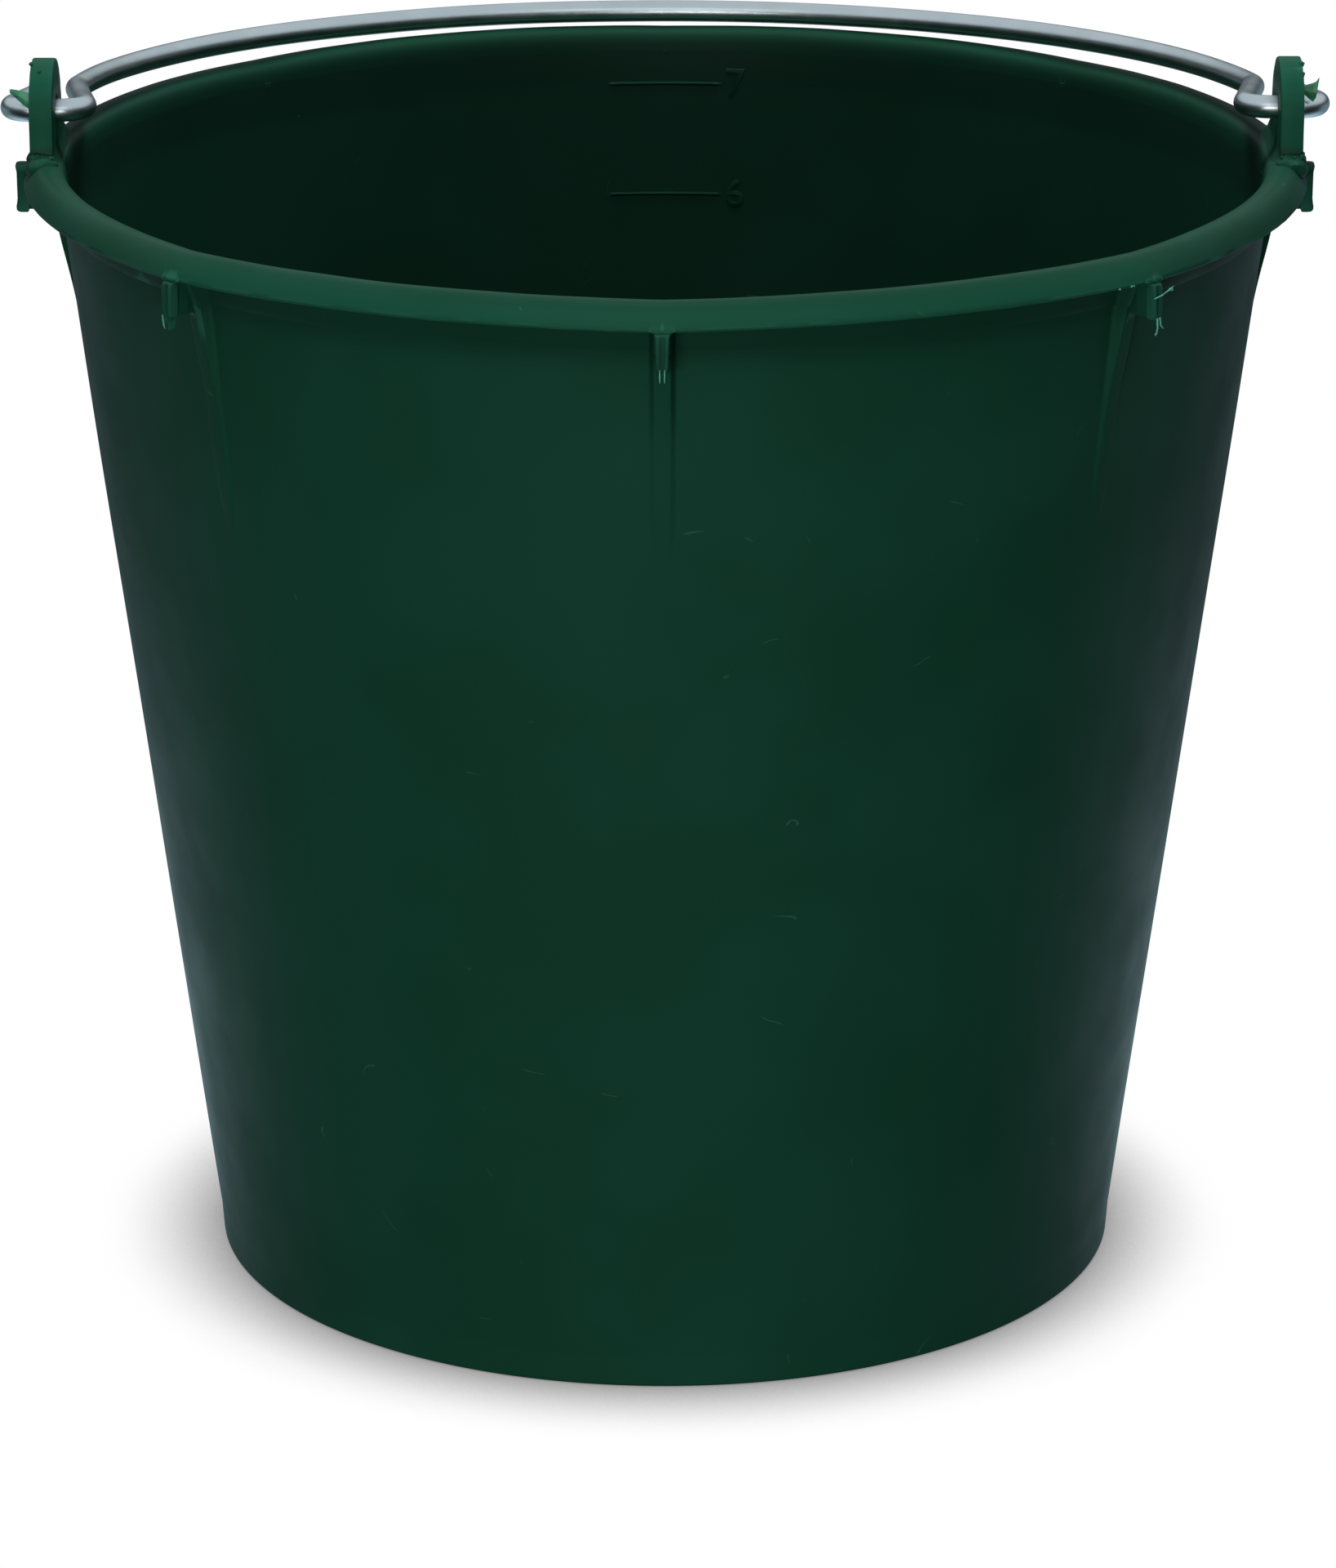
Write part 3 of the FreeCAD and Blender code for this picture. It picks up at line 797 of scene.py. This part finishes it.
def half_route():
    """The wire's centre line from the top of the arc to the end of its +X tail, drawn flat."""
    arc_centre = Vector((0, BAIL_OFFSET))
    crank_centre = Vector((PIVOT_IN, CRANK_ROUND))
    leg_foot = turned(crank_centre, CRANK_ANGLE + 90, CRANK_ROUND)
    side = turned(leg_foot, CRANK_ANGLE + 90, SHOULDER_ROUND) - arc_centre
    along = turned((0, 0), CRANK_ANGLE, 1)
    reach = BAIL_R - SHOULDER_ROUND
    across = side.dot(along)
    travel = -across + math.sqrt(across ** 2 - side.dot(side) + reach ** 2)
    shoulder_centre = arc_centre + side + along * travel
    shoulder_angle = math.degrees(math.atan2(*reversed(shoulder_centre - arc_centre)))
    leg_turn = CRANK_ANGLE - 90
    hook_centre = (PIVOT_OUT, HOOK_ROUND)
    points = arc(arc_centre, BAIL_R, 90, shoulder_angle, 90)
    points += arc(shoulder_centre, SHOULDER_ROUND, shoulder_angle, leg_turn, 12)[1:]
    points += line(leg_foot + along * travel, leg_foot, 10)
    points += arc(crank_centre, CRANK_ROUND, CRANK_ANGLE + 90, 270, 14)
    points += line((PIVOT_IN, 0), (PIVOT_OUT, 0), 4)
    points += arc(hook_centre, HOOK_ROUND, -90, TAIL_ANGLE - 90, 14)
    tail_foot = turned(hook_centre, TAIL_ANGLE - 90, HOOK_ROUND)
    points += line(tail_foot, turned(tail_foot, TAIL_ANGLE, TAIL_LENGTH), 10)
    points.append(turned(tail_foot, TAIL_ANGLE, TAIL_LENGTH))
    return [Vector(point) for point in points]


def make_bail():
    """The bent wire: half the route and its mirror image, a little uneven, laid back on the rim."""
    half = half_route()
    route = [Vector((-point.x, point.y)) for point in reversed(half)] + half[1:]
    laid = Matrix.Rotation(-math.radians(BAIL_DIP), 3, "X")
    sides = 28
    rings = []
    last = len(route) - 1
    for index, point in enumerate(route):
        ahead = (route[min(index + 1, last)] - route[max(index - 1, 0)]).normalized()
        normal = Vector((-ahead.y, ahead.x, 0))
        free = smooth(14.0, 45.0, point.y)
        bow = 0.35 * wobble(60.0, point.x, point.y, 0) * free
        middle = Vector((point.x, point.y, bow)) + normal * 0.3 * wobble(45.0, point.x, 9, 9) * free
        tilt = BAIL_TILT * point.x * (1 - free)
        radius = WIRE_R + 0.012 * wobble(30.0, point.x, point.y, 3)
        ring = []
        for side in range(sides):
            angle = 2 * math.pi * side / sides
            offset = normal * math.cos(angle) * radius + Vector((0, 0, math.sin(angle) * radius))
            ring.append(laid @ (middle + offset) + Vector((0, 0, HINGE_Z + tilt)))
        rings.append(ring)
    cuts = []
    for end, before in ((0, 1), (-1, -2)):
        centre = sum(rings[end], Vector()) / sides
        lean = (centre - sum(rings[before], Vector()) / sides).normalized()
        cuts.append([centre + (point - centre) * 0.8 + lean * 0.25 for point in rings[end]])
    return shade(solid("bail_wire", [cuts[0], *rings, cuts[1]]), sharp_degrees=40)


def make_torn_skin(name, side, face, edges):
    """A thin torn scrap of the skin that closed an ear's hole, pushed out along the wire."""
    thick, rows = 0.22, 7
    rings = []
    for (out, low, high), (out_next, low_next, high_next) in zip(edges, edges[1:]):
        for step in range(5):
            share = step / 4
            far = out + (out_next - out) * share
            bottom = low + (low_next - low) * share + 0.12 * wobble(0.7, far, 3, side)
            top = high + (high_next - high) * share + 0.12 * wobble(0.7, far, 8, side)
            sheet = []
            for row in range(rows + 1):
                up = bottom + (top - bottom) * row / rows
                curl = 0.35 * math.sin(math.pi * row / rows) + 0.12 * wobble(1.1, far, up, side)
                sheet.append((side * (face + far), -SCRAP_BESIDE_HINGE - curl, up))
            ring = [Vector((x, y, HINGE_Z + z)) for x, y, z in sheet]
            ring += [Vector((x, y + thick, HINGE_Z + z)) for x, y, z in reversed(sheet)]
            rings.append(ring)
    return shade(solid(name, rings), sharp_degrees=50)


# -------------------- materials

class Nodes:
    """A builder of one node tree: a new material's, or a given one."""

    def __init__(self, name, tree=None):
        if not tree:
            self.material = bpy.data.materials.new(name)
            self.material.use_nodes = True
            tree = self.material.node_tree
            self.shader = tree.nodes["Principled BSDF"]
        self.tree = tree
        self.coordinates = self.add("ShaderNodeTexCoord").outputs
        self.place = self.coordinates["Object"]

    def put(self, socket, value):
        """Link a socket to another, or give it a plain value."""
        if isinstance(value, bpy.types.NodeSocket):
            self.tree.links.new(value, socket)
        else:
            socket.default_value = value

    def add(self, kind, inputs=None, **settings):
        """A new node with its settings and inputs."""
        node = self.tree.nodes.new(kind)
        for key, value in settings.items():
            setattr(node, key, value)
        for key, value in (inputs or {}).items():
            self.put(node.inputs[key], value)
        return node

    def axes(self):
        """The place's X, Y and Z, in metres."""
        return self.add("ShaderNodeSeparateXYZ", {0: self.place}).outputs

    def radius(self, axes):
        """The place's distance from the pail's own axis, in metres."""
        flat = self.add("ShaderNodeCombineXYZ", {"X": axes["X"], "Y": axes["Y"]}).outputs[0]
        length = self.add("ShaderNodeVectorMath", {0: flat}, operation="LENGTH")
        return length.outputs["Value"]

    def pointiness(self):
        """How far the surface stands out in a ridge: 0.5 where it is flat."""
        return self.add("ShaderNodeNewGeometry").outputs["Pointiness"]

    def noise(self, size_mm, detail=3.0, roughness=0.55):
        """Noise from 0 to 1, with features about size_mm across."""
        inputs = {
            "Vector": self.place, "Scale": 1 / (size_mm * MM),
            "Detail": detail, "Roughness": roughness,
        }
        return self.add("ShaderNodeTexNoise", inputs).outputs["Fac"]

    def span(self, value, low, high, out_low, out_high):
        """A value mapped from one range onto another, smoothly and clamped."""
        inputs = {
            "Value": value, "From Min": low, "From Max": high,
            "To Min": out_low, "To Max": out_high,
        }
        node = self.add("ShaderNodeMapRange", inputs, interpolation_type="SMOOTHSTEP")
        return node.outputs["Result"]

    def rise(self, length, low_mm, high_mm):
        """0 where a length is below a range in millimetres, 1 above it; swap its ends to fall."""
        if low_mm < high_mm:
            return self.span(length, low_mm * MM, high_mm * MM, 0.0, 1.0)
        return self.span(length, high_mm * MM, low_mm * MM, 1.0, 0.0)

    def mix(self, share, first, second):
        """A colour between two; a Mix node's sockets for colours go by number."""
        node = self.tree.nodes.new("ShaderNodeMix")
        node.data_type = "RGBA"
        for index, value in ((0, share), (6, first), (7, second)):
            self.put(node.inputs[index], value)
        return node.outputs[2]

    def mixed_by(self, noise, first, second):
        """A colour that wanders between two with a noise."""
        return self.mix(self.span(noise, 0.35, 0.65, 0.0, 1.0), first, second)

    def laid_over(self, colour, over, mask, most):
        """A colour with another over it, as far as a mask says and never more than most."""
        return self.mix(self.maths("MULTIPLY", mask, most), colour, over)

    def maths(self, operation, *values):
        """One operation on values or sockets."""
        node = self.add("ShaderNodeMath", dict(enumerate(values)), operation=operation)
        return node.outputs[0]

    def product(self, *values):
        """Two or more values multiplied."""
        total = values[0]
        for value in values[1:]:
            total = self.maths("MULTIPLY", total, value)
        return total

    def bump(self, height, distance_mm, normal=None):
        """A normal tipped by a height map, over an earlier normal if any."""
        inputs = {"Height": height, "Distance": distance_mm * MM, "Strength": 1.0}
        if normal:
            inputs["Normal"] = normal
        return self.add("ShaderNodeBump", inputs).outputs["Normal"]

    def finish(self, **sockets):
        """The material, with sockets set on its shader; _ stands for a space."""
        for key, value in sockets.items():
            self.put(self.shader.inputs[key.replace("_", " ")], value)
        return self.material


def specks(nodes, cell_mm, radius_mm, chance):
    """Sparse round specks: 1 inside a speck and 0 elsewhere."""
    inputs = {"Vector": nodes.place, "Scale": 1 / (cell_mm * MM), "Randomness": 1.0}
    cells = nodes.add("ShaderNodeTexVoronoi", inputs)
    near = nodes.span(cells.outputs["Distance"], 0.0, radius_mm / cell_mm, 1.0, 0.0)
    kept = nodes.maths("GREATER_THAN", cells.outputs["Color"], 1 - chance)
    return nodes.product(near, kept)


def scratches(nodes):
    """Sparse short curved hairlines: 1 on a scratch and 0 elsewhere."""
    bend_mm, shift_mm, cell_mm, width_mm = 14, 12, 34, 0.12
    wander = {"Vector": nodes.place, "Scale": 1 / (bend_mm * MM)}
    drift = nodes.add("ShaderNodeTexNoise", wander).outputs["Color"]
    scaled = nodes.add("ShaderNodeVectorMath", {0: drift}, operation="SCALE")
    scaled.inputs["Scale"].default_value = shift_mm * MM
    shift = {0: nodes.place, 1: scaled.outputs[0]}
    bent = nodes.add("ShaderNodeVectorMath", shift, operation="ADD").outputs[0]
    cells = {"Vector": bent, "Scale": 1 / (cell_mm * MM)}
    edges = nodes.add("ShaderNodeTexVoronoi", cells, feature="DISTANCE_TO_EDGE").outputs["Distance"]
    near = nodes.span(edges, 0.0, width_mm / cell_mm, 1.0, 0.0)
    kept = nodes.span(nodes.noise(7.0, 1.0), 0.66, 0.7, 0.0, 1.0)
    return nodes.product(near, kept)


def under_rim(nodes):
    """Painted shade: 1 on the collar under the rim's overhang, fading out a little way down the
    wall.
    """
    axes = nodes.axes()
    rim_painted_shade = nodes.rise(axes["Z"], 211.5, 217.0)
    below = nodes.rise(axes["Z"], 222.1, 221.9)
    behind = nodes.rise(nodes.radius(axes), 124.0, 123.2)
    return nodes.product(rim_painted_shade, below, behind)


def thin_plastic(nodes):
    """1 where light through thin plastic is painted in as a lighter colour: the ears, and the rim's
    outer lip between them.
    """
    axes = nodes.axes()
    outer = nodes.rise(nodes.radius(axes), 123.5, 126.2)
    above = nodes.rise(axes["Z"], 220.8, 221.6)
    away = nodes.rise(nodes.maths("ABSOLUTE", axes["X"]), 106.0, 84.0)
    rim = nodes.product(outer, above, away)
    return nodes.maths("MAXIMUM", rim, nodes.rise(axes["Z"], 228.5, 230.0))


def green_plastic():
    """The moulding: dark green, with painted light where it is thin, painted shade under the rim,
    pale edges that are partly worn and partly a painted highlight, dust and hairline scratches.
    """
    nodes = Nodes("green_plastic_moulded")
    deep, light = (0.0038, 0.0275, 0.0158, 1), (0.0046, 0.0312, 0.0190, 1)
    painted_glow_through, rim_painted_shade = (0.0040, 0.0430, 0.0245, 1), (0.0024, 0.0110, 0.0070, 1)
    worn_and_highlit, dusty, scratched = (0.012, 0.070, 0.046, 1), (0.22, 0.32, 0.29, 1), (0.05, 0.12, 0.10, 1)
    colour = nodes.mixed_by(nodes.noise(45.0, 2.0), deep, light)
    # painted light: the thin ears and rim lip made lighter, as if lit through
    colour = nodes.laid_over(colour, painted_glow_through, thin_plastic(nodes), 0.75)
    # painted shade on the collar under the rim
    colour = nodes.laid_over(colour, rim_painted_shade, under_rim(nodes), 0.38)
    # only at the top: long thin faces lower down would read as false edges
    high_up = nodes.rise(nodes.axes()["Z"], 208.0, 212.0)
    # paler ridges and edges: partly worn plastic, partly a painted highlight along them
    ridge_wear_and_highlight = nodes.span(nodes.pointiness(), 0.515, 0.60, 0.0, 0.55)
    colour = nodes.mix(nodes.product(ridge_wear_and_highlight, high_up), colour, worn_and_highlit)
    dust = nodes.maths("ADD", specks(nodes, 15.0, 0.19, 0.3), specks(nodes, 6.0, 0.11, 0.12))
    colour = nodes.laid_over(colour, dusty, dust, 0.8)
    colour = nodes.laid_over(colour, scratched, scratches(nodes), 0.3)
    rough = nodes.span(nodes.noise(18.0, 4.0), 0.3, 0.7, 0.42, 0.50)
    normal = nodes.bump(nodes.noise(0.9, 4.0), 0.012)
    normal = nodes.bump(nodes.noise(6.0, 2.0), 0.03, normal)
    return nodes.finish(
        Base_Color=colour, Roughness=rough, Normal=normal, Specular_IOR_Level=0.085
    )


def stretched_plastic():
    """The strands of flash: stretched, so paler than the moulding."""
    nodes = Nodes("green_plastic_stretched")
    deep, pale, worn_and_highlit = (0.006, 0.045, 0.027, 1), (0.018, 0.095, 0.064, 1), (0.06, 0.24, 0.17, 1)
    streaks = nodes.noise(0.6, 3.0)
    colour = nodes.mixed_by(streaks, deep, pale)
    # paler ridges: partly stretched, worn plastic, partly a painted highlight along them
    ridge_wear_and_highlight = nodes.span(nodes.pointiness(), 0.51, 0.58, 0.0, 0.8)
    return nodes.finish(
        Base_Color=nodes.mix(ridge_wear_and_highlight, colour, worn_and_highlit),
        Roughness=0.3,
        Normal=nodes.bump(streaks, 0.02),
        Specular_IOR_Level=0.4,
    )


def galvanised_wire():
    """Dull bluish metal with faint patches and stains."""
    nodes = Nodes("galvanised_wire_dull")
    blue, bright, stained = (0.62, 0.69, 0.71, 1), (0.68, 0.74, 0.76, 1), (0.50, 0.54, 0.56, 1)
    patches = nodes.span(nodes.noise(9.0, 2.0, 0.5), 0.3, 0.7, 0.0, 1.0)
    colour = nodes.mix(patches, blue, bright)
    stains = nodes.span(nodes.noise(14.0, 3.0, 0.5), 0.62, 0.82, 0.0, 0.12)
    colour = nodes.mix(stains, colour, stained)
    rough = nodes.span(nodes.noise(5.0, 3.0), 0.3, 0.7, 0.30, 0.36)
    return nodes.finish(Base_Color=colour, Metallic=1.0, Roughness=rough)


def torn_plastic():
    """The torn skins: thin and lit through; their brighter colour is painted light through the
    skin, on top of a little subsurface scattering.
    """
    nodes = Nodes("green_plastic_torn")
    streaks = nodes.noise(2.2, 3.0)
    colour = nodes.mixed_by(streaks, (0.006, 0.095, 0.044, 1), (0.024, 0.19, 0.105, 1))
    return nodes.finish(
        Base_Color=colour,
        Roughness=0.35,
        Normal=nodes.bump(streaks, 0.03),
        Subsurface_Weight=0.4,
        Subsurface_Scale=0.0015,
    )


def dress(thing, material, body):
    """Give a piece its material and slot, and let it ride on a body."""
    thing.data.materials.clear()
    thing.data.materials.append(material)
    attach(thing, body)
    return thing


# -------------------- studio

# the floor's glow as surfaces mirror it, and as they are lit by it
FLOOR_GLOSS = 0.42
FLOOR_FILL = 0.04
# the floor's painted shadow: its brightness at the darkest, close under the pail
FLOOR_PAINTED_SHADOW = 0.27
# the sky's strength low down; then, as it lights and as it is mirrored, where it brightens
# (0 is level, 1 overhead) and its strength above that
SKY_LOW = 0.02
SKY_FILL = (0.25, 0.60, 0.34)
SKY_GLOSS = (0.14, 0.42, 0.70)


def seen_only_by_camera(nodes, seen, unseen):
    """A shader that the camera sees as one thing and that lights the scene as another."""
    camera = nodes.add("ShaderNodeLightPath").outputs["Is Camera Ray"]
    return nodes.add("ShaderNodeMixShader", {0: camera, 1: unseen, 2: seen}).outputs[0]


def make_floor():
    """A white floor with a painted shadow close under the pail; what it adds to the light is set
    apart.
    """
    bpy.ops.mesh.primitive_plane_add(size=30)
    floor = bpy.context.object
    floor.name = "floor"
    nodes = Nodes("pale_floor")
    nodes.tree.nodes.remove(nodes.shader)
    # painted shadow: the floor's glow, as the camera sees it, dims with ambient occlusion near the
    # pail
    closed = nodes.add("ShaderNodeAmbientOcclusion", {"Distance": 0.04}, samples=16).outputs["AO"]
    painted_shadow = nodes.span(closed, 0.36, 0.86, FLOOR_PAINTED_SHADOW, 1.0)
    seen = nodes.add("ShaderNodeEmission", {"Color": (1, 1, 1, 1), "Strength": painted_shadow}).outputs[0]
    mirrored = nodes.add("ShaderNodeLightPath").outputs["Is Glossy Ray"]
    # it glows behind the pail, and more so close to it
    behind = nodes.span(nodes.axes()["Y"], -0.12, 0.12, 0.02, 1.0)
    distance = nodes.add("ShaderNodeVectorMath", {0: nodes.place}, operation="LENGTH")
    close = nodes.span(distance.outputs["Value"], 0.10, 0.50, 2.6, 0.6)
    share = nodes.maths("MULTIPLY_ADD", mirrored, FLOOR_GLOSS, FLOOR_FILL)
    glow = {"Color": (0.62, 0.90, 1, 1), "Strength": nodes.product(behind, close, share)}
    unseen = nodes.add("ShaderNodeEmission", glow).outputs[0]
    output = next(node for node in nodes.tree.nodes if node.type == "OUTPUT_MATERIAL")
    nodes.put(output.inputs[0], seen_only_by_camera(nodes, seen, unseen))
    floor.data.materials.append(nodes.material)


def make_world():
    """White for the camera; otherwise a soft bluish sky over a dark band near the horizon."""
    world = bpy.data.worlds.new("studio")
    bpy.context.scene.world = world
    world.use_nodes = True
    world.node_tree.nodes.clear()
    nodes = Nodes("studio", world.node_tree)
    white = nodes.add("ShaderNodeBackground", {"Color": (1, 1, 1, 1)}).outputs[0]
    aim = nodes.add("ShaderNodeSeparateXYZ", {0: nodes.coordinates["Generated"]}).outputs["Z"]
    mirrored = nodes.add("ShaderNodeLightPath").outputs["Is Glossy Ray"]
    fill, gloss = [
        nodes.span(aim, low, high, SKY_LOW, most) for low, high, most in (SKY_FILL, SKY_GLOSS)
    ]
    choose = nodes.add("ShaderNodeMix", {"Factor": mirrored, "A": fill, "B": gloss})
    glow = {"Color": (0.86, 0.95, 1, 1), "Strength": choose.outputs["Result"]}
    soft = nodes.add("ShaderNodeBackground", glow).outputs[0]
    nodes.add("ShaderNodeOutputWorld", {0: seen_only_by_camera(nodes, white, soft)})


def softbox(name, place, target, size, power, diffuse=True, glossy=True):
    """A rectangular lamp; one that isn't glossy lights surfaces but isn't mirrored in them."""
    lamp = bpy.data.lights.new(name, "AREA")
    lamp.shape = "RECTANGLE"
    lamp.size, lamp.size_y = size
    lamp.energy = power
    holder = bpy.data.objects.new(name, lamp)
    holder.location = place
    holder.rotation_euler = (Vector(target) - Vector(place)).to_track_quat("-Z", "Y").to_euler()
    holder.visible_diffuse, holder.visible_glossy = diffuse, glossy
    bpy.context.scene.collection.objects.link(holder)


def make_studio():
    """Floor, sky and lamps."""
    make_floor()
    make_world()
    softbox("top", (0.0, 0.35, 1.7), (0, 0, 0.2), (0.4, 0.7), 44, glossy=False)
    softbox("front", (-0.25, -1.9, 0.13), (0, 0, 0.12), (1.0, 0.14), 34, glossy=False)
    softbox("back", (0.0, 1.9, 0.13), (0, 0, 0.12), (0.9, 0.14), 30, glossy=False)
    softbox("high_front", (0.0, -1.2, 1.5), (0, 0, 0.2), (1.0, 0.6), 7, glossy=False)
    softbox("shine", (0.0, -1.6, 1.25), (0, 0, 0.2), (1.6, 0.25), 2.0, diffuse=False)
    softbox("front_shine", (-0.15, -1.9, 0.25), (0, 0, 0.15), (0.9, 0.22), 6, diffuse=False)


CAMERA_LENS = 147.98
CAMERA_SHIFT = 0.0019
CAMERA_PLACE = (0, -1.2542, 0.5084)
CAMERA_DOWN = 18.28


def make_camera():
    """The camera in front of the pail, looking a little down."""
    lens = bpy.data.cameras.new("camera")
    lens.lens = CAMERA_LENS
    lens.sensor_width = 36.0
    lens.shift_x = CAMERA_SHIFT
    lens.clip_start = 0.05
    lens.clip_end = 100
    camera = bpy.data.objects.new("camera", lens)
    camera.location = CAMERA_PLACE
    camera.rotation_euler = (math.radians(90 - CAMERA_DOWN), 0, 0)
    bpy.context.scene.collection.objects.link(camera)
    bpy.context.scene.camera = camera


# -------------------- the bucket

make_camera()
make_studio()

plastic, wire, torn = green_plastic(), galvanised_wire(), torn_plastic()
pail = dress(make_pail(), plastic, "pail")
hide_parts("bucket")
dress(make_marks(), plastic, "pail")
dress(make_flash(), stretched_plastic(), "pail")
bail = dress(make_bail(), wire, "handle")
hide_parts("bail")
left_skin = make_torn_skin("torn_skin_left", -1, EAR_X + EAR_THICK - 0.2, LEFT_SCRAP)
dress(left_skin, torn, "handle")
right_skin = make_torn_skin("torn_skin_right", 1, EAR_X + EAR_THICK + 0.4, RIGHT_SCRAP)
dress(right_skin, torn, "handle")

bpy.context.scene.view_settings.view_transform = "Standard"
